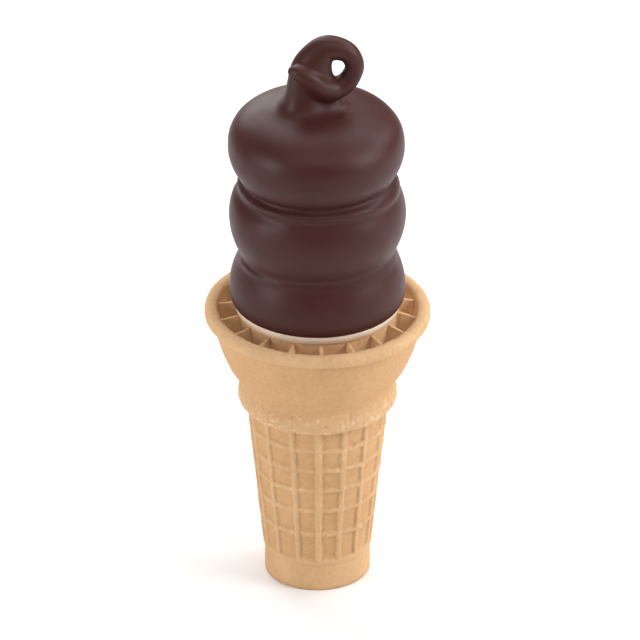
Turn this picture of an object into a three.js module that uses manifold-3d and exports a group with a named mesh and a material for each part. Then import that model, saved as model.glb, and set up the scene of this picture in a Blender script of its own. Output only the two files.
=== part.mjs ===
// A chocolate-dipped soft-serve ice cream in a flat-bottomed wafer cone.
//
// Millimetres, +Z up. The origin is the centre of the cone's flat base, the front
// faces -Y, and the cone stands on its base. Angles around the cone start at the
// front and grow towards +X.

import * as THREE from "three";
import { mergeVertices } from "three/addons/utils/BufferGeometryUtils.js";
import Module from "manifold-3d";

const wasm = await Module();
wasm.setup();

// ---- Driving dimensions ----

const GAP = 0.3; // clearance between pieces that touch
const PAST = 1; // how far a cut runs on past the face that it opens

// The wafer's foot: a smooth band on a slightly rounded flat base
const FOOT_RADIUS = 16.65;
const FOOT_ROUNDING = 0.6;
const FOOT_BAND_TOP = 8.3;

// The wafer's tapered cup, with raised ribs round recessed cells
const CUP_LOWER_RADIUS = 17.3;
const CUP_TAPER = 0.107; // radius gained for each mm of height
const CUP_TOP = 61;
const CELL_DEPTH = 0.9;
const UPRIGHT_RIBS = 16;
const UPRIGHT_RIB_HALF_ANGLE = THREE.MathUtils.degToRad(4.6);
const HOOP_HEIGHTS = [10.8, 21.2, 30.4, 38.3, 46.1, 53.8];
const HOOP_HALF_HEIGHT = 1.2;

// The bulge over the cup, and the bowl that flares out of its waist. Each curve bends
// towards one [radius, height] and ends at the next.
const BULGE_BOTTOM = 60;
const BULGE_BOTTOM_RADIUS = 23.6;
const RIM_BOTTOM = 91.8;
const BOWL_CURVES = [
  { bend: [25.2, 60.6], end: [25.2, 63] }, // round the bulge's lower edge to its widest
  { bend: [25.2, 66], end: [24.4, 67.8] }, // in to the waist
  { bend: [24.4, 70.3], end: [26.4, 73] }, // out of the waist, still hollow
  { bend: [30.4, 77.8], end: [33.6, RIM_BOTTOM] }, // up the bowl's full side
];

// The rim band, which stands out over the bowl, with a rounded edge and a flat crest
const RIM_UNDERSIDE_RADIUS = 35.3;
const RIM_CURVES = [
  { bend: [36, 92], end: [36, 93.4] },
  { bend: [36, 95.4], end: [33.9, 95.6] },
];
const RIM_INNER = [32, 94.9];
const RIM_INNER_FOOT_RADIUS = 31.6;

// The drip pockets between the rim and the inner ring, parted by thin fins
const POCKETS = 18;
const FIN_THICKNESS = 1.1;
const FIN_TOP = 93.4;
const FIRST_FIN_ANGLE = THREE.MathUtils.degToRad(2.5);
const POCKET_FLOOR = 78;
const POCKET_INNER_RADII = [25, 25.6]; // at its floor and at the fins' top
const POCKET_OUTER_RADII = [27.4, 31.2];
const RING_RADIUS = 25.3;
const RING_TOP = 95.3;

// The cone's hollow, which the soft serve fills
const FLOOR_THICKNESS = 2.6;
const HOLLOW = {
  floorRadius: 14.2,
  cupRadius: 19.4,
  cupHeight: 60,
  throatRadius: 22,
  throatHeight: 69,
  mouthRadius: 23.5,
};

// The bare band of soft serve between the ring and the chocolate
const BARE_LOWER_RADIUS = 26;
const BARE_UPPER_RADIUS = 26.8;
const BARE_EDGE = 0.4; // the bevel of its lower edge

// The chocolate coat and the three stacked turns that it covers
const COAT = 1.6;
const DIP_LINE = 98.5;
const DIP_RADIUS = 27.2;
const TURNS = [
  { widest: 102.6, radius: 27.95, creaseHeight: 116.8, creaseRadius: 24.8 },
  { widest: 129, radius: 28.05, creaseHeight: 143.6, creaseRadius: 24.6 },
  { widest: 153.3, radius: 27.95 },
];
const CROWN_HEIGHT = 168;
const CROWN_RADIUS = 5; // flat spot under the curl's stem
const CROWN_SHOULDER = { rise: 0.6, reach: 0.8, lift: 0.5 }; // how full the dome is
const TURN_TILT = 0.008; // the turns sit a little higher towards +X
const TURN_LEAN = 0.0065; // and lean a little towards -X
const TURN_UNEVENNESS = 0.12;
const SWELLS = [ // lobes round the turns, and how far they twist, in radians for each mm
  { lobes: 2, twist: 0.11 },
  { lobes: 3, twist: -0.07 },
];

// The curl: its thick stem rises from the crown, loops over to +X and comes back in
// front of itself to a blunt tip. Each station is x, y, z and the strand's radius.
const CURL = [
  [-4.9, -1.3, 161, 9.5],
  [-4.9, -1.3, 167, 6.8],
  [-5.1, -1.3, 171.6, 4.9],
  [-4.4, -1, 177.2, 5],
  [-2.4, -0.5, 182.4, 5.6],
  [1.5, 0, 187.9, 4.6],
  [5.8, 0.3, 188.8, 3.7],
  [9.5, 0.3, 186.8, 3.3],
  [11.2, 0, 182.2, 3],
  [9.9, -1, 178, 3.15],
  [6.5, -2.2, 175.2, 3.4],
  [1.5, -3.9, 176.3, 3.8],
  [-2.3, -5.4, 180.2, 3.3],
  [-5.6, -5.8, 182.7, 2.5],
  [-7.9, -4.9, 182.9, 1.6],
];
const LOOP_END = 9; // the station where the strand turns back in front of itself
const FILLED_END = 10; // the station that the soft serve reaches

const OUTER_STEPS = 3; // segments for each curve of an outline
const INNER_STEPS = 2;
const WAFER_SIDES = 48;
const HOLLOW_SIDES = 24;
const COAT_SIDES = 36;
const STRAND_SIDES = 12;
const CORE_SIDES = 8;

// ---- Shared shape functions ----

function around(angle, radius, height) {
  return new THREE.Vector3(radius * Math.sin(angle), -radius * Math.cos(angle), height);
}

function anglesAround(sides) {
  return Array.from({ length: sides }, (_, side) => (2 * Math.PI * side) / sides);
}

// A closed skin through rings of points, each ring anticlockwise seen from the
// ring after it. The first and last rings are closed by a fan to their middle.
function closedSkin(rings) {
  const sides = rings[0].length;
  const points = rings.flat();
  const index = [];
  for (let row = 0; row + 1 < rings.length; row++) {
    for (let side = 0; side < sides; side++) {
      const a = row * sides + side;
      const b = row * sides + ((side + 1) % sides);
      index.push(a, b, b + sides, a, b + sides, a + sides);
    }
  }
  const lastRow = (rings.length - 1) * sides;
  for (const [start, ring, turn] of [[0, rings[0], 1], [lastRow, rings.at(-1), 0]]) {
    const middle = points.length;
    points.push(ring.reduce((sum, p) => sum.add(p), new THREE.Vector3()).divideScalar(sides));
    for (let side = 0; side < sides; side++) {
      const pair = [start + side, start + ((side + 1) % sides)];
      index.push(pair[turn], pair[1 - turn], middle);
    }
  }
  const geometry = new THREE.BufferGeometry().setFromPoints(points);
  geometry.setIndex(index);
  return geometry;
}

// A solid of revolution from an outline of (radius, height) points, bottom to top.
function revolved(outline, sides) {
  return new THREE.LatheGeometry(outline, sides).rotateX(Math.PI / 2);
}

function toSolid(geometry) {
  geometry.deleteAttribute("normal");
  geometry.deleteAttribute("uv");
  const merged = mergeVertices(geometry, 1e-4);
  const mesh = new wasm.Mesh({
    numProp: 3,
    vertProperties: new Float32Array(merged.attributes.position.array),
    triVerts: new Uint32Array(merged.index.array),
  });
  return new wasm.Manifold(mesh);
}

function toNode(name, solid, material) {
  const { vertProperties, triVerts } = solid.getMesh();
  const geometry = new THREE.BufferGeometry();
  geometry.setAttribute("position", new THREE.BufferAttribute(vertProperties, 3));
  geometry.setIndex(new THREE.BufferAttribute(triVerts, 1));
  geometry.computeVertexNormals();
  const node = new THREE.Mesh(geometry, material);
  node.name = name;
  return node;
}

// ---- Wafer cone ----

function cupRadius(height) {
  return CUP_LOWER_RADIUS + CUP_TAPER * (height - HOOP_HEIGHTS[0]);
}

// Three columns for each upright rib: one side, the crest and the other side.
function cupRing(height, depth) {
  const ring = [];
  for (const rib of anglesAround(UPRIGHT_RIBS)) {
    for (const side of [-1, 0, 1]) {
      const radius = cupRadius(height) - (side === 0 ? 0 : depth);
      ring.push(around(rib + side * UPRIGHT_RIB_HALF_ANGLE, radius, height));
    }
  }
  return ring;
}

function footRing(height, radius) {
  return cupRing(height, 0).map((point) => point.multiply(
    new THREE.Vector3(radius / cupRadius(height), radius / cupRadius(height), 1),
  ));
}

function cup() {
  const rings = [
    footRing(0, FOOT_RADIUS - FOOT_ROUNDING),
    footRing(FOOT_ROUNDING, FOOT_RADIUS),
    footRing(FOOT_BAND_TOP, FOOT_RADIUS),
    cupRing(HOOP_HEIGHTS[0] - HOOP_HALF_HEIGHT, 0),
  ];
  const tops = [...HOOP_HEIGHTS.slice(1), CUP_TOP + HOOP_HALF_HEIGHT];
  HOOP_HEIGHTS.forEach((hoop, row) => {
    rings.push(
      cupRing(hoop, 0),
      cupRing(hoop + HOOP_HALF_HEIGHT, CELL_DEPTH),
      cupRing(tops[row] - HOOP_HALF_HEIGHT, CELL_DEPTH),
    );
  });
  return toSolid(closedSkin(rings));
}

// From the bulge over the waist and the bowl to the rim, and back along the fins'
// top and over the inner ring to the axis.
function bowlOutline() {
  const outline = new THREE.Path();
  const follow = (curves) => curves.forEach(({ bend, end }) => {
    outline.quadraticCurveTo(...bend, ...end);
  });
  outline.moveTo(0, BULGE_BOTTOM);
  outline.lineTo(BULGE_BOTTOM_RADIUS, BULGE_BOTTOM);
  follow(BOWL_CURVES);
  outline.lineTo(RIM_UNDERSIDE_RADIUS, RIM_BOTTOM);
  follow(RIM_CURVES);
  outline.lineTo(...RIM_INNER);
  outline.lineTo(RIM_INNER_FOOT_RADIUS, FIN_TOP);
  outline.lineTo(RING_RADIUS, FIN_TOP);
  outline.lineTo(RING_RADIUS, RING_TOP);
  outline.lineTo(0, RING_TOP);
  return outline.getPoints(OUTER_STEPS);
}

function pocketRing(middle, height, innerRadius, outerRadius) {
  const ring = [];
  for (const [radius, steps] of [[outerRadius, [-1, 0, 1]], [innerRadius, [1, 0, -1]]]) {
    const reach = Math.PI / POCKETS - Math.asin(FIN_THICKNESS / 2 / radius);
    steps.forEach((step) => ring.push(around(middle + step * reach, radius, height)));
  }
  return ring;
}

// A pocket runs on straight past the fins' top, so that it cuts clean through.
function pocket(middle) {
  const [floorInner, topInner] = POCKET_INNER_RADII;
  const [floorOuter, topOuter] = POCKET_OUTER_RADII;
  const rise = FIN_TOP - POCKET_FLOOR;
  const past = (rise + PAST) / rise;
  return toSolid(closedSkin([
    pocketRing(middle, POCKET_FLOOR, floorInner, floorOuter),
    pocketRing(
      middle,
      POCKET_FLOOR + rise * past,
      THREE.MathUtils.lerp(floorInner, topInner, past),
      THREE.MathUtils.lerp(floorOuter, topOuter, past),
    ),
  ]));
}

// The hollow, or with an inset what fills it, up to a given height.
function hollowOutline(inset, top) {
  return [
    new THREE.Vector2(0, FLOOR_THICKNESS + inset),
    new THREE.Vector2(HOLLOW.floorRadius - inset, FLOOR_THICKNESS + inset),
    new THREE.Vector2(HOLLOW.cupRadius - inset, HOLLOW.cupHeight),
    new THREE.Vector2(HOLLOW.throatRadius - inset, HOLLOW.throatHeight),
    new THREE.Vector2(HOLLOW.mouthRadius - inset, top),
  ];
}

function waferCone() {
  let cone = cup().add(toSolid(revolved(bowlOutline(), WAFER_SIDES)));
  for (const step of anglesAround(POCKETS)) {
    cone = cone.subtract(pocket(FIRST_FIN_ANGLE + Math.PI / POCKETS + step));
  }
  const above = RING_TOP + PAST;
  const hollow = [...hollowOutline(0, above), new THREE.Vector2(0, above)];
  return cone.subtract(toSolid(revolved(hollow, HOLLOW_SIDES)));
}

// ---- Swirled turns, shared by the coat and the soft serve under it ----

// Each turn is a parabola out of the crease below and into the crease above.
function turnsOutline(inset, steps) {
  const outline = new THREE.Path();
  let crease = new THREE.Vector2(DIP_RADIUS - inset, DIP_LINE);
  outline.moveTo(crease.x, crease.y);
  for (const turn of TURNS) {
    const radius = turn.radius - inset;
    outline.quadraticCurveTo(radius, (crease.y + turn.widest) / 2, radius, turn.widest);
    if (turn.creaseHeight) {
      crease = new THREE.Vector2(turn.creaseRadius - inset, turn.creaseHeight);
      outline.quadraticCurveTo(radius, (crease.y + turn.widest) / 2, crease.x, crease.y);
    }
  }
  const { widest, radius } = TURNS.at(-1);
  const crown = CROWN_HEIGHT - inset;
  outline.bezierCurveTo(
    radius - inset, widest + CROWN_SHOULDER.rise * (crown - widest),
    CROWN_SHOULDER.reach * (radius - inset), crown + CROWN_SHOULDER.lift,
    CROWN_RADIUS, crown,
  );
  return outline.getPoints(steps);
}

// The tilt, the lean and the unevenness grow from nothing at the dip line.
function turnsRing({ x: radius, y: height }, sides) {
  const grown = THREE.MathUtils.smoothstep(height, DIP_LINE, TURNS[0].creaseHeight);
  return anglesAround(sides).map((angle) => {
    const swell = SWELLS.reduce(
      (sum, { lobes, twist }) => sum + Math.cos(lobes * angle + twist * height),
      0,
    );
    const wobble = grown * TURN_UNEVENNESS * swell * (radius / DIP_RADIUS);
    const point = around(angle, radius + wobble, height);
    point.z += grown * TURN_TILT * point.x;
    point.x -= TURN_LEAN * Math.max(0, height - DIP_LINE);
    return point;
  });
}

function turns(outline, sides) {
  return toSolid(closedSkin(outline.map((point) => turnsRing(point, sides))));
}

// The curl's strand from one station to another, thinner by the inset.
function strand(inset, first, last, sides) {
  const route = new THREE.CatmullRomCurve3(CURL.map(([x, y, z]) => new THREE.Vector3(x, y, z)));
  const girth = new THREE.SplineCurve(CURL.map((station, i) => new THREE.Vector2(i, station[3])));
  const rings = [];
  for (let step = 0; step <= 2 * (last - first); step++) {
    const along = (first + step / 2) / (CURL.length - 1);
    const middle = route.getPoint(along);
    const ahead = route.getTangent(along);
    const across = new THREE.Vector3(0, 1, 0).cross(ahead).normalize();
    const towards = ahead.clone().cross(across);
    const radius = girth.getPoint(along).y - inset;
    rings.push(anglesAround(sides).map((angle) => middle.clone()
      .addScaledVector(across, radius * Math.cos(angle))
      .addScaledVector(towards, radius * Math.sin(angle))));
  }
  return toSolid(closedSkin(rings));
}

// ---- Soft serve and chocolate ----

function softServe() {
  const inset = COAT + GAP;
  const throat = hollowOutline(GAP, RING_TOP);
  const filling = [
    ...throat,
    new THREE.Vector2(HOLLOW.mouthRadius - GAP, RING_TOP + GAP),
    new THREE.Vector2(BARE_LOWER_RADIUS - BARE_EDGE, RING_TOP + GAP),
    new THREE.Vector2(BARE_LOWER_RADIUS, RING_TOP + GAP + BARE_EDGE),
    new THREE.Vector2(BARE_UPPER_RADIUS, DIP_LINE - GAP),
    new THREE.Vector2(0, DIP_LINE - GAP),
  ];
  const below = new THREE.Vector2(DIP_RADIUS - inset, DIP_LINE - 2 * GAP);
  return toSolid(revolved(filling, HOLLOW_SIDES))
    .add(turns([below, ...turnsOutline(inset, INNER_STEPS)], HOLLOW_SIDES))
    .add(strand(inset, 0, FILLED_END, CORE_SIDES));
}

function chocolateShell() {
  const below = new THREE.Vector2(DIP_RADIUS - COAT, DIP_LINE - PAST);
  return turns(turnsOutline(0, OUTER_STEPS), COAT_SIDES)
    .add(strand(0, 0, LOOP_END, STRAND_SIDES))
    .add(strand(0, LOOP_END, CURL.length - 1, STRAND_SIDES))
    .subtract(turns([below, ...turnsOutline(COAT, INNER_STEPS)], HOLLOW_SIDES))
    .subtract(strand(COAT, 0, FILLED_END, CORE_SIDES));
}

const wafer = new THREE.MeshStandardMaterial({ color: 0xd8ae86, roughness: 0.85, metalness: 0 });
const vanilla = new THREE.MeshStandardMaterial({ color: 0xebd5b8, roughness: 0.5, metalness: 0 });
const chocolate = new THREE.MeshStandardMaterial({ color: 0x442622, roughness: 0.38, metalness: 0 });

const iceCreamCone = new THREE.Group();
iceCreamCone.add(
  toNode("wafer_cone", waferCone(), wafer),
  toNode("soft_serve", softServe(), vanilla),
  toNode("chocolate_shell", chocolateShell(), chocolate),
);

export default iceCreamCone;
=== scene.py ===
"""A chocolate-dipped soft serve in a flat-bottomed wafer cone.

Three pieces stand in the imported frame: the wafer, moulded with ribs, a bulge, a bowl
and a pocketed rim; the soft serve, which shows as a thin pale band; and the chocolate
coat over its turns and curl. Shapes are worked out in millimetres with +Z up and the
front at -Y, and azimuths start at the front and grow towards +X.
"""

import itertools
import math

import bpy
import numpy as np
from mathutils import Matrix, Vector


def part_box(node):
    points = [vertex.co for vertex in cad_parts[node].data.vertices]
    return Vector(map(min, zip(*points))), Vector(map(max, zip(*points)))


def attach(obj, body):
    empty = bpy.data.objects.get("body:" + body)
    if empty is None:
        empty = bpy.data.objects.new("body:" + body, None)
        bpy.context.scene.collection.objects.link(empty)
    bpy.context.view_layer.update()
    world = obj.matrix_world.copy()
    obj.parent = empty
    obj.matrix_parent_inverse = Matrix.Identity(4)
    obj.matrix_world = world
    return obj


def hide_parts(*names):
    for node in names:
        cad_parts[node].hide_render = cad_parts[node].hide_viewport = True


MM = 0.001
SEED = 7
LATTICE = 32  # random values along each side of a noise

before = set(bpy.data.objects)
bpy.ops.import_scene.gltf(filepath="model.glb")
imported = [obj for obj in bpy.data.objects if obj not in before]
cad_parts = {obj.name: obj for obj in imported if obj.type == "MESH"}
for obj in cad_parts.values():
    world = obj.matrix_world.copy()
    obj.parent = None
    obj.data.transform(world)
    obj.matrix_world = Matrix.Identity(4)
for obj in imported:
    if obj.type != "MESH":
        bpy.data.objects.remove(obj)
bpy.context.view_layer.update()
wafer_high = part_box("wafer_cone")[1] / MM
coat_low, coat_high = (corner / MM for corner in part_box("chocolate_shell"))

# ---- Driving dimensions of the wafer, in millimetres ----

RIM_RADIUS = wafer_high.x - 0.15
RIM_TOP = wafer_high.z
UNDERSIDE_RADII = (5, 11, 14.5)  # of the underside's rings
FOOT_RADIUS = 16.65
FOOT_ROUNDING = 0.6
FOOT_BAND_TOP = 9.3
FOOT_STEP = (FOOT_BAND_TOP - 0.35, FOOT_BAND_TOP + 0.5)  # heights where the band ends and the cup starts
CUP_RADIUS = 17.3  # at the border rib
CUP_TAPER = 0.107
CUP_TOP = 61.4
CELL_DEPTH = 0.9
RIB_AZIMUTHS = [  # degrees
    0.8, 23, 44.5, 69, 91, 112, 136, 158, 180.5, 202, 226, 247, 269.5, 291.5, 313.6, 338.5,
]
RIB_HALF_WIDTHS = (0.6, 1.2)  # of its flat top, and of its foot
RIB_WOBBLE = [(0.014, 11, 1), (0.009, 2.2, 6)]  # radians, size and seed of each layer of noise
RIB_WIDTH_WOBBLE = [(0.12, 9, 3)]
RIB_RELIEF = 0.94
RIB_WEAR = [(0.06, 6, 4)]
RIB_WORN = 0.45  # how worn a rib's top is, where a hoop's is 1
RIGHT_RIB_LOSS = 0.12  # the ribs are lower towards +X, and the hoops higher
RIGHT_HOOP_GAIN = 0.3
HOOP_HEIGHTS = [10.8, 21.2, 30.4, 38.3, 46.1, 53.8]
HOOP_HALF_HEIGHTS = (0.5, 1.25)
HOOP_WOBBLE = [(0.35, 13, 2), (0.3, 2.4, 7)]
HOOP_RELIEF = 0.62
HOOP_WEAR = [(0.3, 3.5, 5)]
BORDER_RELIEF = 0.97  # of the lowest hoop
BULGE_FOOT = (23.4, 61.4)
BOWL_CURVES = [  # each bends towards one (radius, height) and ends at the next
    ((25.1, 61.7), (25.2, 63.8)),
    ((25.2, 66), (24.4, 67.8)),
    ((24.4, 70.3), (26.4, 73)),
    ((30.4, 77.8), (33.6, 91.8)),
]
RIM_CURVES = [
    ((RIM_RADIUS, 91.9), (RIM_RADIUS, 93.4)),
    ((RIM_RADIUS, RIM_TOP - 0.1), (33.7, RIM_TOP - 0.1)),
    ((33.0, RIM_TOP - 0.1), (32.3, RIM_TOP - 0.45)),
    ((31.95, RIM_TOP - 0.6), (31.85, RIM_TOP - 1.2)),
]
RIM_UNDERSIDE = (35.2, 91.8)
POCKETS = 18
FIRST_FIN = 2.5  # its azimuth in degrees
FIN_TOP = 93.4  # at the rim
FIN_RISE = 1.5  # from the rim up to the ring
FIN_HALF_WIDTHS = (0.0, 0.38, 0.5)
FIN_EDGE_DROP = 0.14
POCKET_EDGE = 0.06  # from a fin's foot to the first column in the pocket
POCKET_BUNCHING = 1.15  # over 1 draws a pocket's columns towards its fins
POCKET_FLOOR = 78.0
POCKET_SECTION = [  # from the rim down, across the floor and up the ring's outside
    (31.6, FIN_TOP), (31.2, 92.2), (30.5, 89), (29.6, 85.5), (28.6, 82), (27.8, 79.4),
    (27.2, 78.3), (26.6, POCKET_FLOOR), (25.8, POCKET_FLOOR), (25.2, 78.4),
    (25.05, 80), (25.05, 84), (25.12, 88), (25.2, 91.5), (25.28, FIN_TOP),
]
RING_RADIUS = 25.3
RING_TOP = 95.3
RING_EDGE = [(RING_RADIUS, 94.98), (RING_RADIUS - 0.03, 95.16), (RING_RADIUS - 0.25, RING_TOP)]
HOLLOW = [(23.6, RING_TOP), (23.5, 92), (22, 69), (19.4, 60), (14.4, 3.4), (13.6, 2.6)]
HOLLOW_MIDDLE = 7  # the innermost ring of the hollow's floor
WAFER_COLUMNS = 20 * POCKETS
BAND_ROWS = np.linspace(1.4, FOOT_BAND_TOP - 0.7, 9)
CUP_SPACING = 0.365  # from row to row
LIP_SPACING = 0.42
BOWL_SPACING = 0.64
RIM_SPACING = 0.5
LIP_TOP = 66.0  # of the bulge's crumbly lower half
BOWL_SHADE_RELIEF = 0.1  # relief value that gives the bowl and the underside nearly the cells' full painted shade
RIM_TILT = (-0.011, -0.012)  # slopes across X and Y
TILT_RADII = (26, 32)  # where the tilt starts and is full
TILT_HEIGHTS = (72, 92)
LIP_BAND = (58, 61, 66.5, 69)  # heights where the lip's roughness starts, is full, fades and ends
RIM_BAND = (91, 93)  # heights where the rim's roughness starts and is full
GRAIN = [(0.10, 9, 11), (0.05, 3.2, 12)]
ROUGH_GRAIN = [(0.08, 1.2, 13)]
PIT_NOISE = (1.3, 14)  # size of its features and seed
PIT_RANGE = (0.45, 0.8)  # of the noise, from a pit's edge to its floor
PIT_DEPTH = 0.24
CRUMB_NOISE = (0.8, 15)
CRUMB_RANGE = (0.2, 0.8)
CRUMB_HEIGHT = 0.2
POCKET_SMOOTHING = 0.7
WAFER_CREASE = 55  # degrees, past which an edge stays sharp

# ---- Driving dimensions of the soft serve and the chocolate, in millimetres ----

DIP_LINE = coat_low.z
CURL_TOP = coat_high.z
COAT = 1.6  # thick
GAP = 0.3  # between touching pieces
DIP_RADIUS = 27.2
CROWN = 168.0  # the height of the top turn's flat middle
CROWN_FULLNESS = 2.6  # a superellipse's exponent
TURNS = [  # widest place, groove above it, crease under the next turn and swell between the two
    {"widest": (27.95, 102.6), "groove": (25.6, 113.3), "crease": (24.6, 117.0), "fold": 0.1},
    {"widest": (28.05, 129.0), "groove": (25.1, 139.3), "crease": (23.4, 142.6), "fold": 0.9},
    {"widest": (27.95, 153.3)},
]
SOFTENING = np.array([1, 2, 3, 4, 5, 4, 3, 2, 1])  # rounds the creases off
FOLDS = {  # amount, height and half height of each change to the creases
    "right_fill": (0.8, 139.2, 1.2),
    "left_valley": (-0.6, 138.0, 1.8),
    "front_and_back_ridge": (1.1, 140.9, 1.5),
    "low_left_ridge": (0.4, 115.5, 0.75),
}
UNEVENNESS = [(0.16, 16, 21), (0.05, 6, 22)]
SWELL = 0.12
TURN_LEAN = 0.0065  # towards -X, for each millimetre of height
TURN_TILT = 0.008  # rise for each millimetre of X
SERVE_EDGE = 95.5  # the height where the soft serve leaves the wafer
BAND = [(25.7, 95.55), (26.0, 95.75), (26.75, 98.1), (26.6, 98.7), (26.0, 99.3)]  # its bare side
CURL = [  # x, y, z and radius along the strand, from inside the crown to its blunt tip
    (-4.9, -1.3, 160.0, 4.4),
    (-4.9, -1.3, 166.6, 4.2),
    (-5.2, -1.3, 171.6, 4.5),
    (-4.6, -1.0, 176.6, 4.9),
    (-2.6, -0.6, 182.2, 5.5),
    (1.5, 0.0, 187.8, 4.4),
    (5.6, 0.3, 188.4, 3.85),
    (9.8, 0.4, 186.5, 3.3),
    (11.7, 0.6, 181.9, 3.1),
    (10.0, 0.4, 177.2, 3.2),
    (7.0, -0.5, 175.0, 3.6),
    (4.3, -1.8, 174.7, 3.8),
    (0.8, -3.8, 176.7, 3.75),
    (-2.3, -5.4, 180.2, 3.3),
    (-4.9, -5.9, 182.3, 2.7),
    (-6.8, -5.4, 183.0, 2.1),
    (-7.9, -4.8, 182.8, 1.6),
]
WEB = [(0.4, -0.6, 184.5, 2.8), (2.4, -1.2, 177.3, 3.1)]  # chocolate that fills the loop's left side
SEAT = [(-2.0, 0.8, 168.6, 4.4), (3.0, 0.8, 168.4, 4.3)]  # the mound that the loop rests on
LOOP_END = 9  # the station where the strand starts back across its stem
CORE_END = 11  # the station where the hollow inside the coat ends
STEM_FILLET = 8.0
WEB_FILLET = 3.0
SEAT_FILLET = 4.0
CROSSING_FILLETS = (0.05, 1.1)  # where the strand meets itself, and what more farther along it
CROSSING_STATIONS = (1.0, 3.0)  # how many stations apart that more starts and is full
CURL_REACH = 14  # how far below the crown the curl can change the coat
COAT_UNDERSIDE = (8, 20, 26.6)  # radii of its rings
LIP_INSET = 0.8  # how far the rounding of the coat's edge reaches in and up
LIP_RISE = 0.7
MOUTH = [(8, -1), (24, -1), (26.75, -1), (26.7, 0.2), (26.1, 0.9)]  # radius, height over the dip line
VOXEL = 0.6
PROFILE_SPACING = 0.25
ROUGH_SPACING = 1.0
INNER_SPACING = 1.2
INNER_CLEARANCE = 0.8  # from the lower points up to the drawn-in profile
INNER_MIDDLE = 3  # its least radius
CROWN_POINTS = 120
TUBE_SPACING = 0.8
TUBE_SIDES = 24
COAT_COLUMNS = 96
SERVE_COLUMNS = 144
COAT_CREASE = 60  # degrees
SERVE_CREASE = 50

# ---- Floor, camera and light, in metres, degrees and watts ----

FLOOR_HALF = 3.0
CAMERA_ELEVATION = 29.8
CAMERA_DISTANCE = 8.0
VIEW_WIDTH = 0.203
VIEW_CENTRE = Vector((0.8, 0, 89.8)) * MM
SOFTBOXES = [  # name, azimuth, elevation, distance, (width, height), watts
    ("right_softbox", 74, 27, 0.8, (0.4, 0.5), 4.4),
    ("back_right_softbox", 118, 38, 0.9, (0.4, 0.4), 2.4),
    ("back_left_softbox", -162, 22, 0.9, (0.5, 0.4), 2.6),
    ("back_high_softbox", 180, 60, 0.9, (0.9, 0.5), 4.4),
    ("left_softbox", -64, 16, 0.8, (0.35, 0.4), 3.0),
    ("front_high_softbox", 0, 62, 0.9, (0.9, 0.6), 2.2),
]
WORLD_STRENGTH = 0.18


# ---- Shared functions ----

def noise(points, size, seed):
    """Smooth noise from -1 to 1, with features of about that size."""
    lattice = np.random.default_rng(SEED + seed).uniform(-1, 1, (LATTICE, LATTICE, LATTICE))
    scaled = points / size
    cell = np.floor(scaled).astype(int)
    part = scaled - cell
    part = part * part * (3 - 2 * part)
    total = np.zeros(points.shape[:-1])
    for corner in itertools.product((0, 1), repeat=3):
        weight = np.prod(np.where(corner, part, 1 - part), axis=-1)
        x, y, z = np.moveaxis((cell + corner) % LATTICE, -1, 0)
        total += weight * lattice[x, y, z]
    return total


def layered(points, layers):
    """Several noises added up, each given as its amount, the size of its features and its seed."""
    return sum(amount * noise(points, size, seed) for amount, size, seed in layers)


def step(value, low, high):
    """0 below low, 1 above high and smooth between."""
    t = np.clip((value - low) / (high - low), 0, 1)
    return t * t * (3 - 2 * t)


def around(azimuth, radius, height):
    """Points at azimuths in radians."""
    return np.stack(np.broadcast_arrays(radius * np.sin(azimuth), -radius * np.cos(azimuth), height), -1)


def curved(start, curves, steps=24):
    """Points along quadratic curves, each given as the point it bends to and its end."""
    points = [np.array(start, float)]
    t = np.linspace(0, 1, steps + 1)[1:, None]
    for bend, end in curves:
        first = points[-1]
        points.extend((1 - t) ** 2 * first + 2 * t * (1 - t) * np.array(bend) + t ** 2 * np.array(end))
    return np.array(points)


def respaced(points, spacing):
    """The same line with points about that far apart."""
    points = np.array(points, float)
    along = np.append(0, np.cumsum(np.linalg.norm(np.diff(points, axis=0), axis=1)))
    places = np.linspace(0, along[-1], max(2, round(along[-1] / spacing) + 1))
    return np.stack([np.interp(places, along, axis) for axis in points.T], -1)


def new_piece(name, points, faces):
    """A mesh object from an array of points and a list of faces."""
    mesh = bpy.data.meshes.new(name)
    mesh.from_pydata(points.tolist(), [], faces)
    mesh.shade_smooth()
    piece = bpy.data.objects.new(name, mesh)
    bpy.context.scene.collection.objects.link(piece)
    return piece


def closed_grid(name, rings):
    """A closed skin over rings of points, each end closed by a fan to its middle."""
    rows, columns = rings.shape[:2]
    corner = np.arange(rows * columns).reshape(rows, columns)
    after = np.roll(corner, -1, axis=1)
    faces = np.stack([corner[:-1], after[:-1], after[1:], corner[1:]], -1).reshape(-1, 4).tolist()
    last = rows * columns
    faces += [[after[0, i], corner[0, i], last] for i in range(columns)]
    faces += [[corner[-1, i], after[-1, i], last + 1] for i in range(columns)]
    ends = np.stack([rings[0].mean(0), rings[-1].mean(0)])
    return new_piece(name, np.concatenate([rings.reshape(-1, 3), ends]), faces)


def set_points(piece, points):
    piece.data.vertices.foreach_set("co", points.astype(np.float32).ravel())
    piece.data.update()


def get_points(piece):
    points = np.empty(len(piece.data.vertices) * 3, np.float32)
    piece.data.vertices.foreach_get("co", points)
    return points.reshape(-1, 3).astype(float)


def apply_modifiers(piece):
    graph = bpy.context.evaluated_depsgraph_get()
    made = bpy.data.meshes.new_from_object(piece.evaluated_get(graph))
    piece.modifiers.clear()
    piece.data = made
    made.name = piece.name


def combine(piece, other, operation):
    """Joins another closed piece to this one, or cuts it away, and removes it."""
    modifier = piece.modifiers.new("combine", "BOOLEAN")
    modifier.operation = operation
    modifier.solver = "MANIFOLD"
    modifier.object = other
    apply_modifiers(piece)
    bpy.data.objects.remove(other)


def finished(piece, node, material):
    """Takes the piece from millimetres to metres and gives it its place in the frame."""
    set_points(piece, get_points(piece) * MM)
    piece.data.materials.clear()
    piece.data.materials.append(material)
    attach(piece, "root")
    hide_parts(node)


def add_values(piece, name, values):
    attribute = piece.data.attributes.new(name, "FLOAT", "POINT")
    attribute.data.foreach_set("value", values.astype(np.float32))


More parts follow.
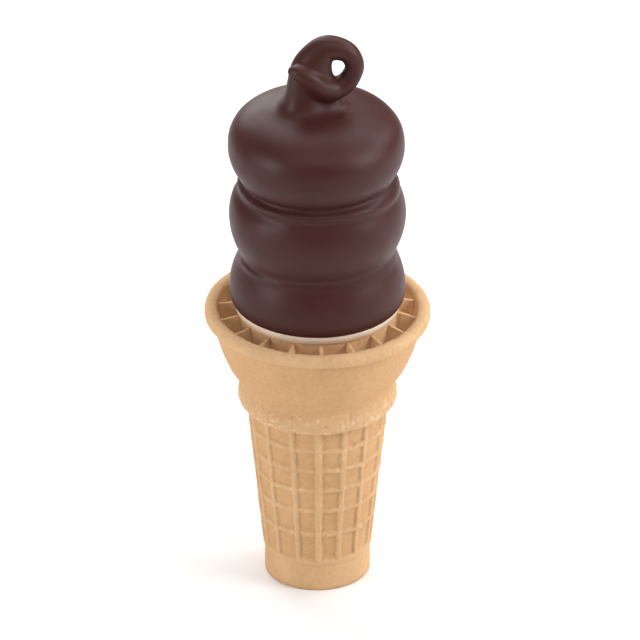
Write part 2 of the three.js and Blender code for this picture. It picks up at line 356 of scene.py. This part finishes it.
# ---- Wafer ----

def cup_relief(azimuth, height, radius):
    """How much of a rib and of a hoop each place is: 1 on its top and 0 on the cells' floors."""
    ribs = np.radians(RIB_AZIMUTHS)
    turn = np.abs((azimuth[..., None] - ribs + math.pi) % (2 * math.pi) - math.pi).min(-1)
    upright = 1 - step(turn * radius, *RIB_HALF_WIDTHS)
    away = np.abs(height[..., None] - np.array(HOOP_HEIGHTS)).min(-1)
    hoop = 1 - step(away, *HOOP_HALF_HEIGHTS)
    return upright, hoop


def cup_rings(azimuth, heights):
    """Radius, relief and wear of rings up the tapered cup, with worn ribs round uneven cells; below 1 the
    relief also gives painted shade.
    """
    height = np.broadcast_to(heights[:, None], (len(heights), len(azimuth)))
    turn = np.broadcast_to(azimuth, height.shape)
    first_hoop, second_hoop = HOOP_HEIGHTS[:2]
    crest = CUP_RADIUS + CUP_TAPER * (height - first_hoop)
    place = around(turn, crest, height)
    upright, hoop = cup_relief(
        turn + layered(place, RIB_WOBBLE),
        height + layered(place, HOOP_WOBBLE),
        crest * (1 + layered(place, RIB_WIDTH_WOBBLE)),
    )
    right = (0.5 + 0.5 * np.sin(turn)) ** 4
    upright = upright * (RIB_RELIEF + layered(place, RIB_WEAR) - RIGHT_RIB_LOSS * right)
    hoop = hoop * (HOOP_RELIEF + layered(place, HOOP_WEAR) + RIGHT_HOOP_GAIN * right)
    border = 1 - step(height, first_hoop, first_hoop + HOOP_HALF_HEIGHTS[1])
    relief = np.maximum(np.maximum(upright, hoop), BORDER_RELIEF * border)
    radius = crest - CELL_DEPTH * (1 - relief)
    foot = 1 - step(height, *FOOT_STEP)
    radius = radius * (1 - foot) + FOOT_RADIUS * foot
    worn = np.maximum(hoop, RIB_WORN * upright) * step(height, first_hoop, second_hoop) * (1 - foot)
    return radius, relief, worn


def pocket_azimuths(radius):
    """Azimuths from one fin to the next, close together at the fins' edges."""
    half = WAFER_COLUMNS // POCKETS // 2
    fin = np.array(FIN_HALF_WIDTHS)
    wall = fin[-1] + POCKET_EDGE
    reach = math.pi / POCKETS * radius
    pocket = wall + (reach - wall) * np.linspace(0, 1, half + 1 - len(fin)) ** POCKET_BUNCHING
    side = np.concatenate([fin, pocket]) / radius
    return np.concatenate([side, 2 * math.pi / POCKETS - side[-2:0:-1]])


class WaferSkin:
    """The rows of the wafer's skin, from the middle of its underside round to its hollow."""

    def __init__(self):
        self.columns = WAFER_COLUMNS // POCKETS
        self.fins = np.radians(FIRST_FIN + 360 / POCKETS * np.arange(POCKETS))
        spread = np.radians(np.arange(self.columns) * 360 / WAFER_COLUMNS)
        self.even = (self.fins[:, None] + spread).ravel()
        self.rows = []
        self.add_foot()
        self.add_cup()
        self.add_bowl()
        self.add_rim()
        self.add_pockets()
        self.add_hollow()

    def add(self, azimuth, radius, height, relief=1.0, pocket=0.0, worn=0.0):
        """Adds a row, each value one number or one for each column."""
        row = np.broadcast_arrays(azimuth, radius, height, relief, pocket, worn)
        self.rows.append(np.stack(row))

    def bunched(self, radius, share):
        """The columns' azimuths, drawn that share of the way to the fins' edges."""
        near = (self.fins[:, None] + pocket_azimuths(radius)).ravel()
        turn = (near - self.even + math.pi) % (2 * math.pi) - math.pi
        return self.even + turn * share

    def add_foot(self):
        # the underside and the foot's rounding get the bowl's painted shade
        for radius in UNDERSIDE_RADII:
            self.add(self.even, radius, 0, BOWL_SHADE_RELIEF)
        for angle in np.radians([0, 30, 60, 90]):
            radius = FOOT_RADIUS - FOOT_ROUNDING * (1 - math.sin(angle))
            self.add(self.even, radius, FOOT_ROUNDING * (1 - math.cos(angle)), BOWL_SHADE_RELIEF)

    def add_cup(self):
        top = CUP_TOP - 0.1
        heights = np.concatenate([BAND_ROWS, np.arange(FOOT_BAND_TOP - 0.3, top, CUP_SPACING), [top]])
        radii, reliefs, wears = cup_rings(self.even, heights)
        for radius, height, relief, worn in zip(radii, heights, reliefs, wears):
            self.add(self.even, radius, height, relief, worn=worn)
        for share in (0.45, 0.8):
            self.add(self.even, radii[-1] + (BULGE_FOOT[0] - radii[-1]) * share, CUP_TOP + 0.05)

    def add_bowl(self):
        outline = curved(BULGE_FOOT, BOWL_CURVES)
        low = outline[:, 1] < LIP_TOP
        lip = respaced(outline[low], LIP_SPACING)
        bowl = respaced(outline[~low], BOWL_SPACING)
        # painted shade on the bowl, none on the bulge's lip
        for radius, height in np.concatenate([lip, bowl]):
            on_lip = 1 - step(height, LIP_TOP - 2, LIP_TOP + 4)
            self.add(self.even, radius, height, BOWL_SHADE_RELIEF + (1 - BOWL_SHADE_RELIEF) * on_lip, worn=on_lip)

    def add_rim(self):
        under_radius, under_height = RIM_UNDERSIDE
        for share in (0.5, 1.0):
            radius = self.rows[-1][1, 0]
            self.add(self.even, radius + (under_radius - radius) * share, under_height)
        edge = respaced(curved(RIM_UNDERSIDE, RIM_CURVES), RIM_SPACING)[1:]
        for share, (radius, height) in zip(np.linspace(0, 0.9, len(edge)), edge):
            self.add(self.bunched(radius, share), radius, height)

    def add_pockets(self):
        column = np.arange(self.columns)
        from_fin = np.minimum(column, self.columns - column)
        on_fin = np.tile(from_fin < len(FIN_HALF_WIDTHS), POCKETS)
        drop = np.tile((from_fin == len(FIN_HALF_WIDTHS) - 1) * FIN_EDGE_DROP, POCKETS)
        outer, inner = POCKET_SECTION[0][0], POCKET_SECTION[-1][0]
        shares = np.linspace(0, 1, len(POCKET_SECTION))
        for share, (radius, height) in zip(shares, POCKET_SECTION):
            radii = np.where(on_fin, outer + (inner - outer) * share, radius)
            heights = np.where(on_fin, FIN_TOP + FIN_RISE * share - drop, height)
            depth = (FIN_TOP - heights) / (FIN_TOP - POCKET_FLOOR)
            self.add(self.bunched(radii.mean(), 1.0), radii, heights, pocket=step(depth, 0, 0.3))

    def add_hollow(self):
        azimuth = self.bunched(RING_RADIUS, 1.0)
        for radius, height in RING_EDGE + HOLLOW + [(HOLLOW_MIDDLE, HOLLOW[-1][1])]:
            self.add(azimuth, radius, height)


def wafer_roughness(place, height, worn):
    """Bumps in millimetres on the wafer's outside, and flecks: above 0 on crumbs, below 0 for painted
    shade in the pits.
    """
    starts, full, fades, ends = LIP_BAND
    lip = step(height, starts, full) * (1 - step(height, fades, ends)) + 0.6 * step(height, *RIM_BAND)
    rough = 0.35 + 0.65 * np.clip(lip + 0.7 * worn, 0, 1)
    grain = layered(place, GRAIN) + rough * layered(place, ROUGH_GRAIN)
    pits = step(noise(place, *PIT_NOISE), *PIT_RANGE) * rough
    crumbs = step(noise(place, *CRUMB_NOISE), *CRUMB_RANGE) * rough
    bumps = grain - PIT_DEPTH * pits + CRUMB_HEIGHT * crumbs
    return bumps, crumbs * (0.25 + worn) - 0.5 * pits


def wafer_piece(material):
    """The wafer, rough outside and smooth in its pockets and its hollow."""
    rows = np.array(WaferSkin().rows)
    azimuth, radius, height, relief, pocket, worn = np.moveaxis(rows, 1, 0)
    bumps, flecks = wafer_roughness(around(azimuth, radius, height), height, worn)
    outside = np.arange(len(rows)) < len(rows) - len(HOLLOW) - 1
    bumps = bumps * outside[:, None] * np.minimum(1, height / 2)
    bumps *= 1 - POCKET_SMOOTHING * step(pocket, 0, 0.3)
    along = np.gradient(np.stack([radius, height], -1), axis=0)
    along /= np.linalg.norm(along, axis=-1, keepdims=True) + 1e-9
    radius = radius + bumps * along[..., 1]
    height = height - bumps * along[..., 0]
    x, y, _ = np.moveaxis(around(azimuth, radius, height), -1, 0)
    tilted = step(radius, *TILT_RADII) * step(height, *TILT_HEIGHTS)
    height = height + tilted * (RIM_TILT[0] * x + RIM_TILT[1] * y)
    radius = np.minimum(radius, wafer_high.x - 0.01)
    piece = closed_grid("wafer", around(azimuth, radius, height))
    piece.data.set_sharp_from_angle(angle=math.radians(WAFER_CREASE))
    # relief below 1 gives painted shade in the cells, on the bowl and on the underside
    add_values(piece, "relief", np.append(relief, [1, 1]))
    # pocket also sets where the painted bounce light goes
    add_values(piece, "pocket", np.append(pocket, [0, 0]))
    add_values(piece, "flecks", np.append(flecks, [0, 0]))
    finished(piece, "wafer_cone", material)


# ---- Turns and curl ----

def turns_profile(spacing=PROFILE_SPACING):
    """(radius, height) up the turns' side, from the dip line to the crown."""
    radii = []
    heights = []
    below = (DIP_RADIUS, DIP_LINE)
    for turn in TURNS:
        radius, widest = turn["widest"]
        under = np.arange(below[1], widest, spacing)
        heights.append(under)
        radii.append(radius - (radius - below[0]) * ((widest - under) / (widest - below[1])) ** 2)
        if "groove" in turn:
            groove = turn["groove"]
            below = turn["crease"]
            over = np.arange(widest, groove[1], spacing)
            heights.append(over)
            radii.append(radius - (radius - groove[0]) * ((over - widest) / (groove[1] - widest)) ** 2)
            fold = np.arange(groove[1], below[1], spacing)
            share = (fold - groove[1]) / (below[1] - groove[1])
            heights.append(fold)
            swelling = turn["fold"] * np.sin(math.pi * share)
            radii.append(groove[0] + (below[0] - groove[0]) * share + swelling)
    padded = np.pad(np.concatenate(radii), len(SOFTENING) // 2, "edge")
    softened = np.convolve(padded, SOFTENING / SOFTENING.sum(), "valid")
    radius, widest = TURNS[-1]["widest"]
    angle = np.linspace(0, math.pi / 2, CROWN_POINTS)
    power = 2 / CROWN_FULLNESS
    heights.append(widest + (CROWN - widest) * np.sin(angle) ** power)
    crown = radius * np.abs(np.cos(angle)) ** power
    return np.stack([np.concatenate([softened, crown]), np.concatenate(heights)], -1)


def swell(azimuth, height):
    """How far the turns stray from round, in millimetres."""
    return SWELL * (np.cos(2 * azimuth + height / 9) + np.sin(3 * azimuth - height / 14))


def lean(points, sign=1):
    """Leans and tilts the turns as they rise, or with sign -1 takes that away again."""
    leaned = points.copy()
    grown = step(points[..., 2], DIP_LINE, TURNS[0]["crease"][1])
    leaned[..., 0] -= sign * TURN_LEAN * np.maximum(0, points[..., 2] - DIP_LINE)
    leaned[..., 2] += sign * TURN_TILT * grown * points[..., 0]
    return leaned


def strand_points(first, last, inset=0.0, spacing=PROFILE_SPACING, stations=CURL):
    """Points and radii close together along a strand, by Catmull-Rom."""
    stations = np.array(stations)
    padded = np.concatenate([[2 * stations[0] - stations[1]], stations, [2 * stations[-1] - stations[-2]]])
    found = []
    for i in range(first, last):
        before, start, end, after = padded[i:i + 4]
        steps = max(3, round(np.linalg.norm(end[:3] - start[:3]) / spacing))
        t = np.linspace(0, 1, steps, endpoint=False)[:, None]
        found.append(0.5 * (2 * start + (end - before) * t
                            + (2 * before - 5 * start + 4 * end - after) * t ** 2
                            + (3 * start - before - 3 * end + after) * t ** 3))
    found = np.concatenate([*found, [stations[last]]])
    return found[:, :3], found[:, 3] - inset


def tube(name, first, last, inset, stations=CURL):
    """A closed tube along part of a strand, with flat ends."""
    middles, radii = strand_points(first, last, inset, TUBE_SPACING, stations)
    ahead = np.gradient(middles, axis=0)
    ahead /= np.linalg.norm(ahead, axis=1, keepdims=True)
    across = np.cross([0.0, 1.0, 0.0], ahead)
    across /= np.linalg.norm(across, axis=1, keepdims=True)
    towards = np.cross(ahead, across)
    angle = 2 * math.pi * np.arange(TUBE_SIDES)[None, :, None] / TUBE_SIDES
    offset = across[:, None] * np.cos(angle) + towards[:, None] * np.sin(angle)
    return closed_grid(name, middles[:, None] + radii[:, None, None] * offset)


def revolved(name, profile, columns):
    """A closed skin of revolution up the leaning turns."""
    azimuth = 2 * math.pi * np.arange(columns) / columns
    radius = profile[:, :1]
    height = profile[:, 1:]
    grown = step(height, DIP_LINE, TURNS[0]["crease"][1])
    wide = radius + grown * swell(azimuth, height) * radius / DIP_RADIUS
    return closed_grid(name, lean(around(azimuth, wide, height)))


class ProfileDistance:
    """Signed distance to the turns' profile, from a fine grid over radius and height."""

    CELL = 0.2
    WIDEST = 36

    def __init__(self):
        profile = turns_profile()
        lip_curve = ((DIP_RADIUS, DIP_LINE), (DIP_RADIUS + 0.02, DIP_LINE + LIP_RISE))
        lip = curved((DIP_RADIUS - LIP_INSET, DIP_LINE), [lip_curve], 8)
        side = np.concatenate([lip, profile[profile[:, 1] > lip[-1, 1] + 0.05]])
        line = np.concatenate([[[0, DIP_LINE]], side])
        self.lowest = DIP_LINE - 5
        radii = np.arange(0, self.WIDEST, self.CELL)
        heights = np.arange(self.lowest, CROWN + 8, self.CELL)
        place = np.stack(np.meshgrid(radii, heights, indexing="ij"), -1)
        away = np.full(place.shape[:2], 1e9)
        for begin, way in zip(line[:-1], np.diff(line, axis=0)):
            t = np.clip(((place - begin) @ way) / (way @ way), 0, 1)
            away = np.minimum(away, np.linalg.norm(place - begin - t[..., None] * way, axis=-1))
        inside = place[..., 0] < np.interp(place[..., 1], side[:, 1], side[:, 0], left=-1, right=-1)
        self.table = np.where(inside, -away, away)

    def __call__(self, radius, height):
        x = np.clip(radius / self.CELL, 0, self.table.shape[0] - 1.001)
        y = np.clip((height - self.lowest) / self.CELL, 0, self.table.shape[1] - 1.001)
        i = x.astype(int)
        j = y.astype(int)
        u = x - i
        v = y - j
        near = self.table[i, j] * (1 - v) + self.table[i, j + 1] * v
        far = self.table[i + 1, j] * (1 - v) + self.table[i + 1, j + 1] * v
        return near * (1 - u) + far * u


def blended(a, b, reach):
    """The nearer of two distances, with a fillet where they meet."""
    overlap = np.maximum(reach - np.abs(a - b), 0) / reach
    return np.minimum(a, b) - overlap ** 2 * reach / 4


def strand_distance(points, first, last, stations=CURL):
    """Signed distance to the strand's surface, and the station nearest to each point."""
    middles, radii = strand_points(first, last, stations=stations)
    nearest = np.full(len(points), 1e9)
    place = np.zeros(len(points))
    for i, (middle, radius) in enumerate(zip(middles, radii)):
        away = np.linalg.norm(points - middle, axis=1) - radius
        closer = away < nearest
        nearest[closer] = away[closer]
        place[closer] = i
    return nearest, first + place * (last - first) / (len(middles) - 1)


def coat_distance(points, turns_distance):
    """Signed distance to the coat's outside."""
    straight = lean(points, -1)
    x, y, height = straight.T
    radius = np.hypot(x, y)
    azimuth = np.arctan2(x, -y)
    grown = step(height, DIP_LINE, TURNS[0]["crease"][1])
    shift = grown * swell(azimuth, height) * radius / DIP_RADIUS
    shift += grown * layered(points, UNEVENNESS)
    shift += fold_shift(azimuth, height)
    distance = turns_distance(radius, height) - shift
    high = points[:, 2] > CROWN - CURL_REACH
    if high.any():
        near = points[high]
        stem, stem_place = strand_distance(near, 0, LOOP_END)
        front, front_place = strand_distance(near, LOOP_END, len(CURL) - 1)
        apart = step(front_place - stem_place, *CROSSING_STATIONS)
        web, _ = strand_distance(near, 0, 1, WEB)
        seat, _ = strand_distance(near, 0, 1, SEAT)
        under = blended(distance[high], seat, SEAT_FILLET)
        under = blended(under, blended(stem, web, WEB_FILLET), STEM_FILLET)
        least, more = CROSSING_FILLETS
        distance[high] = blended(under, front, least + more * apart)
    return distance


def fold_shift(azimuth, height):
    """How the folds at the creases fade and deepen round the turns, in millimetres."""
    right = np.sin(azimuth)
    left = -right
    front = np.cos(azimuth)
    shares = {
        "right_fill": step(right, 0.2, 0.75),
        "left_valley": step(left, 0.3, 0.8),
        "front_and_back_ridge": 1 - step(np.abs(right), 0.6, 0.95),
        "low_left_ridge": step(left, 0.3, 0.6) * step(front, 0.1, 0.5),
    }
    shift = np.zeros(azimuth.shape)
    for name, (amount, middle, half) in FOLDS.items():
        shift += amount * shares[name] * np.exp(-((height - middle) / half) ** 2)
    return shift


def settle(points, distance, rounds=4, nudge=0.06):
    """Moves points onto the surface where the distance is nothing."""
    for _ in range(rounds):
        here = distance(points)
        slope = np.stack([
            (distance(points + nudge * axis) - distance(points - nudge * axis)) / (2 * nudge)
            for axis in np.eye(3)
        ], -1)
        step_size = here / np.maximum((slope ** 2).sum(-1), 0.2)
        points = points - np.clip(step_size, -1, 1)[:, None] * slope
    return points


def inner_profile(inset, lower):
    """What lies under the coat: the turns' profile drawn in, above some lower points."""
    profile = turns_profile(INNER_SPACING)
    profile = profile[profile[:, 1] > lower[-1][1] + INNER_CLEARANCE] - (inset, 0)
    profile = profile[profile[:, 0] > INNER_MIDDLE]
    profile[:, 1] = np.minimum(profile[:, 1], CROWN - inset)
    profile[:, 1] -= step(profile[:, 1], TURNS[-1]["widest"][1], CROWN) * inset
    return np.concatenate([lower, profile])


def solid_coat():
    """The coat's outside as one closed skin, remade until it follows coat_distance."""
    underside = [(radius, DIP_LINE) for radius in COAT_UNDERSIDE]
    profile = np.concatenate([underside, turns_profile(ROUGH_SPACING)[1:-3]])
    coat = revolved("chocolate", profile, COAT_COLUMNS)
    for first, last in ((0, LOOP_END), (LOOP_END - 1, len(CURL) - 1)):
        combine(coat, tube("strand", first, last, 0), "UNION")
    combine(coat, tube("seat", 0, 1, 0, SEAT), "UNION")
    turns_distance = ProfileDistance()
    for _ in range(2):
        remesh = coat.modifiers.new("remesh", "REMESH")
        remesh.mode = "VOXEL"
        remesh.voxel_size = VOXEL
        apply_modifiers(coat)
        points = settle(get_points(coat), lambda places: coat_distance(places, turns_distance))
        set_points(coat, points)
    points[:, 2] = np.clip(points[:, 2], DIP_LINE, CURL_TOP)
    set_points(coat, points)
    return coat


def chocolate_piece(material):
    """The coat: a shell over the turns and the curl, open below."""
    coat = solid_coat()
    lower = [(radius, DIP_LINE + above) for radius, above in MOUTH]
    hollow = revolved("hollow", inner_profile(COAT, lower), COAT_COLUMNS)
    combine(hollow, tube("core", 0, CORE_END, COAT), "UNION")
    combine(coat, hollow, "DIFFERENCE")
    coat.data.shade_smooth()
    coat.data.set_sharp_from_angle(angle=math.radians(COAT_CREASE))
    finished(coat, "chocolate_shell", material)


def soft_serve_piece(material):
    """The soft serve, from the bottom of the wafer's hollow up inside the coat's curl."""
    floor = HOLLOW[-1][1]
    filling = [(HOLLOW_MIDDLE, floor + GAP)]
    for radius, height in reversed(HOLLOW[1:]):
        near_floor = height < floor + 1
        filling.append((radius - GAP, height + GAP * near_floor))
    filling.append((HOLLOW[0][0] - GAP, SERVE_EDGE))
    serve = revolved("soft_serve_filling", inner_profile(COAT + GAP, filling + BAND), SERVE_COLUMNS)
    combine(serve, tube("core", 0, CORE_END - 1, COAT + GAP), "UNION")
    serve.data.shade_smooth()
    serve.data.set_sharp_from_angle(angle=math.radians(SERVE_CREASE))
    finished(serve, "soft_serve", material)


# ---- Materials ----

TANS = ((0.58, 0.342, 0.169, 1), (0.66, 0.406, 0.212, 1))
PALE_GRAIN = (0.76, 0.52, 0.31, 1)
# painted shade: multiplies the tan in the cells between ribs and hoops
CELL_PAINTED_SHADE = (0.86, 0.76, 0.62, 1)
# painted bounce light: a paler, more orange tan in the pockets
POCKET_PAINTED_LIGHT = (0.96, 0.72, 0.48, 1)
CRUMB_TAN = (0.84, 0.63, 0.42, 1)
# painted shade in the pits
PIT_PAINTED_SHADE = (0.50, 0.30, 0.14, 1)
SPECK_TAN = (0.55, 0.33, 0.16, 1)
BROWNS = ((0.049, 0.0120, 0.0098, 1), (0.058, 0.0152, 0.0128, 1))
CREAMS = ((0.92, 0.75, 0.58, 1), (0.96, 0.83, 0.68, 1))
FLOOR_TONES = ((0.90, 0.90, 0.90, 1), (0.92, 0.92, 0.92, 1))


class Shader:
    """A material's node tree, with short ways to add to it."""

    def __init__(self, name, **constants):
        self.material = bpy.data.materials.new(name)
        self.material.use_nodes = True
        self.tree = self.material.node_tree
        self.surface = self.tree.nodes["Principled BSDF"]
        for socket, value in constants.items():
            self.surface.inputs[socket.replace("_", " ")].default_value = value
        self.place = self.add("ShaderNodeTexCoord").outputs["Object"]

    def add(self, kind, links=(), **settings):
        node = self.tree.nodes.new(kind)
        for key, value in settings.items():
            setattr(node, key, value)
        for socket, value in links:
            if isinstance(value, bpy.types.NodeSocket):
                self.tree.links.new(value, node.inputs[socket])
            else:
                node.inputs[socket].default_value = value
        return node

    def noise(self, size, detail=2.0, rough=0.5):
        """Noise from 0 to 1 with features of about that many millimetres."""
        node = self.add("ShaderNodeTexNoise", [
            ("Vector", self.place), ("Scale", 1 / (size * MM)), ("Detail", detail), ("Roughness", rough),
        ])
        return node.outputs["Fac"]

    def ramp(self, value, low, high, start=0.0, end=1.0):
        node = self.add("ShaderNodeMapRange", [
            ("Value", value), ("From Min", low), ("From Max", high), ("To Min", start), ("To Max", end),
        ])
        return node.outputs["Result"]

    def mix(self, share, first, second, blend="MIX"):
        node = self.add("ShaderNodeMix", data_type="RGBA", blend_type=blend)
        for socket, value in ((0, share), (6, first), (7, second)):
            if isinstance(value, bpy.types.NodeSocket):
                self.tree.links.new(value, node.inputs[socket])
            else:
                node.inputs[socket].default_value = value
        return node.outputs[2]

    def math(self, operation, first, second):
        node = self.add("ShaderNodeMath", [(0, first), (1, second)], operation=operation)
        return node.outputs[0]

    def value(self, name):
        return self.add("ShaderNodeAttribute", attribute_name=name).outputs["Fac"]

    def bump(self, height, distance, strength=1.0):
        node = self.add("ShaderNodeBump", [
            ("Height", height), ("Distance", distance * MM), ("Strength", strength),
        ])
        self.tree.links.new(node.outputs["Normal"], self.surface.inputs["Normal"])

    def set(self, socket, value):
        self.tree.links.new(value, self.surface.inputs[socket])


def wafer_material():
    """Baked wafer: mottled tan, paler on worn ribs; painted shade darkens the cells, the bowl, the
    underside and the pits, and painted bounce light makes the pockets paler and more orange.
    """
    shader = Shader("baked_wafer", IOR=1.4, Specular_IOR_Level=0.3)
    broad = shader.ramp(shader.noise(16, 3), 0.3, 0.7)
    tan = shader.mix(broad, *TANS)
    fine = shader.ramp(shader.noise(1.6, 4, 0.65), 0.3, 0.7)
    tan = shader.mix(shader.math("MULTIPLY", fine, 0.45), tan, PALE_GRAIN)
    # painted shade: where relief is below 1 the tan darkens, most in the cells' recesses
    relief = shader.ramp(shader.value("relief"), 0.0, 1.0)
    cells = shader.mix(0.5, tan, CELL_PAINTED_SHADE, "MULTIPLY")
    tan = shader.mix(relief, cells, tan)
    # painted bounce light: the pockets turn paler and more orange
    tan = shader.mix(shader.value("pocket"), tan, shader.mix(0.95, tan, POCKET_PAINTED_LIGHT))
    flecks = shader.ramp(shader.value("flecks"), 0.0, 1.0, 0.0, 0.65)
    tan = shader.mix(flecks, tan, CRUMB_TAN)
    # painted shade: the pits darken
    pits = shader.ramp(shader.value("flecks"), -0.1, -0.5, 0.0, 0.5)
    tan = shader.mix(pits, tan, PIT_PAINTED_SHADE)
    specks = shader.ramp(shader.noise(0.9, 2), 0.62, 0.78, 0.0, 0.45)
    tan = shader.mix(specks, tan, SPECK_TAN)
    shader.set("Base Color", tan)
    shader.set("Roughness", shader.ramp(fine, 0, 1, 0.78, 0.95))
    coarse = shader.math("MULTIPLY", shader.noise(2.2, 3), 0.8)
    grain = shader.math("ADD", shader.noise(0.55, 3, 0.7), coarse)
    shader.bump(grain, 0.16, 0.8)
    return shader.material


def chocolate_material():
    """A thin dark dip: satin, with faint bloom and soft unevenness."""
    shader = Shader("chocolate_dip", IOR=1.45, Specular_IOR_Level=0.3)
    bloom = shader.ramp(shader.noise(11, 3, 0.6), 0.3, 0.75)
    brown = shader.mix(bloom, *BROWNS)
    shader.set("Base Color", brown)
    shader.set("Roughness", shader.ramp(shader.noise(5, 3), 0.3, 0.7, 0.42, 0.48))
    shader.bump(shader.noise(1.4, 3), 0.03, 0.6)
    return shader.material


def vanilla_material():
    """Creamy soft serve: slightly translucent, with fine ice grain."""
    shader = Shader("vanilla_soft_serve", IOR=1.35, Subsurface_Weight=0.25, Subsurface_Scale=0.002)
    shader.surface.inputs["Subsurface Radius"].default_value = (1.0, 0.6, 0.35)
    cream = shader.mix(shader.ramp(shader.noise(4, 3), 0.3, 0.7), *CREAMS)
    shader.set("Base Color", cream)
    shader.set("Roughness", shader.ramp(shader.noise(2, 2), 0.3, 0.7, 0.35, 0.5))
    shader.bump(shader.noise(0.8, 3), 0.06, 0.6)
    return shader.material


def floor_material():
    """A plain pale floor with a faint broad unevenness."""
    shader = Shader("pale_floor", IOR=1.3, Roughness=0.8, Specular_IOR_Level=0.0)
    shader.set("Base Color", shader.mix(shader.noise(60, 2), *FLOOR_TONES))
    return shader.material


# ---- Studio ----

def add_floor():
    corners = np.array([(-1, -1, 0), (1, -1, 0), (1, 1, 0), (-1, 1, 0)]) * FLOOR_HALF
    floor = new_piece("floor", corners, [[0, 1, 2, 3]])
    floor.data.materials.append(floor_material())


def add_camera():
    elevation = math.radians(CAMERA_ELEVATION)
    back = Vector((0, -math.cos(elevation), math.sin(elevation)))
    data = bpy.data.cameras.new("camera")
    data.lens = data.sensor_width * CAMERA_DISTANCE / VIEW_WIDTH
    camera = bpy.data.objects.new("camera", data)
    camera.location = VIEW_CENTRE + back * CAMERA_DISTANCE
    camera.rotation_euler = (-back).to_track_quat("-Z", "Y").to_euler()
    bpy.context.scene.collection.objects.link(camera)
    bpy.context.scene.camera = camera


def add_softbox(name, azimuth, elevation, distance, size, watts):
    """A wide soft light that points at the middle of the object."""
    turn = math.radians(azimuth)
    rise = math.radians(elevation)
    away = Vector((math.sin(turn) * math.cos(rise), -math.cos(turn) * math.cos(rise), math.sin(rise)))
    data = bpy.data.lights.new(name, "AREA")
    data.shape = "RECTANGLE"
    data.size, data.size_y = size
    data.energy = watts
    light = bpy.data.objects.new(name, data)
    light.location = VIEW_CENTRE + away * distance
    light.rotation_euler = (-away).to_track_quat("-Z", "Y").to_euler()
    light.visible_camera = False
    bpy.context.scene.collection.objects.link(light)


def add_world(strength):
    world = bpy.data.worlds.new("studio")
    world.use_nodes = True
    background = world.node_tree.nodes["Background"]
    background.inputs["Color"].default_value = (1, 1, 1, 1)
    background.inputs["Strength"].default_value = strength
    bpy.context.scene.world = world


wafer_piece(wafer_material())
soft_serve_piece(vanilla_material())
chocolate_piece(chocolate_material())
add_floor()
add_camera()
for softbox in SOFTBOXES:
    add_softbox(*softbox)
add_world(WORLD_STRENGTH)
bpy.context.scene.view_settings.view_transform = "Standard"
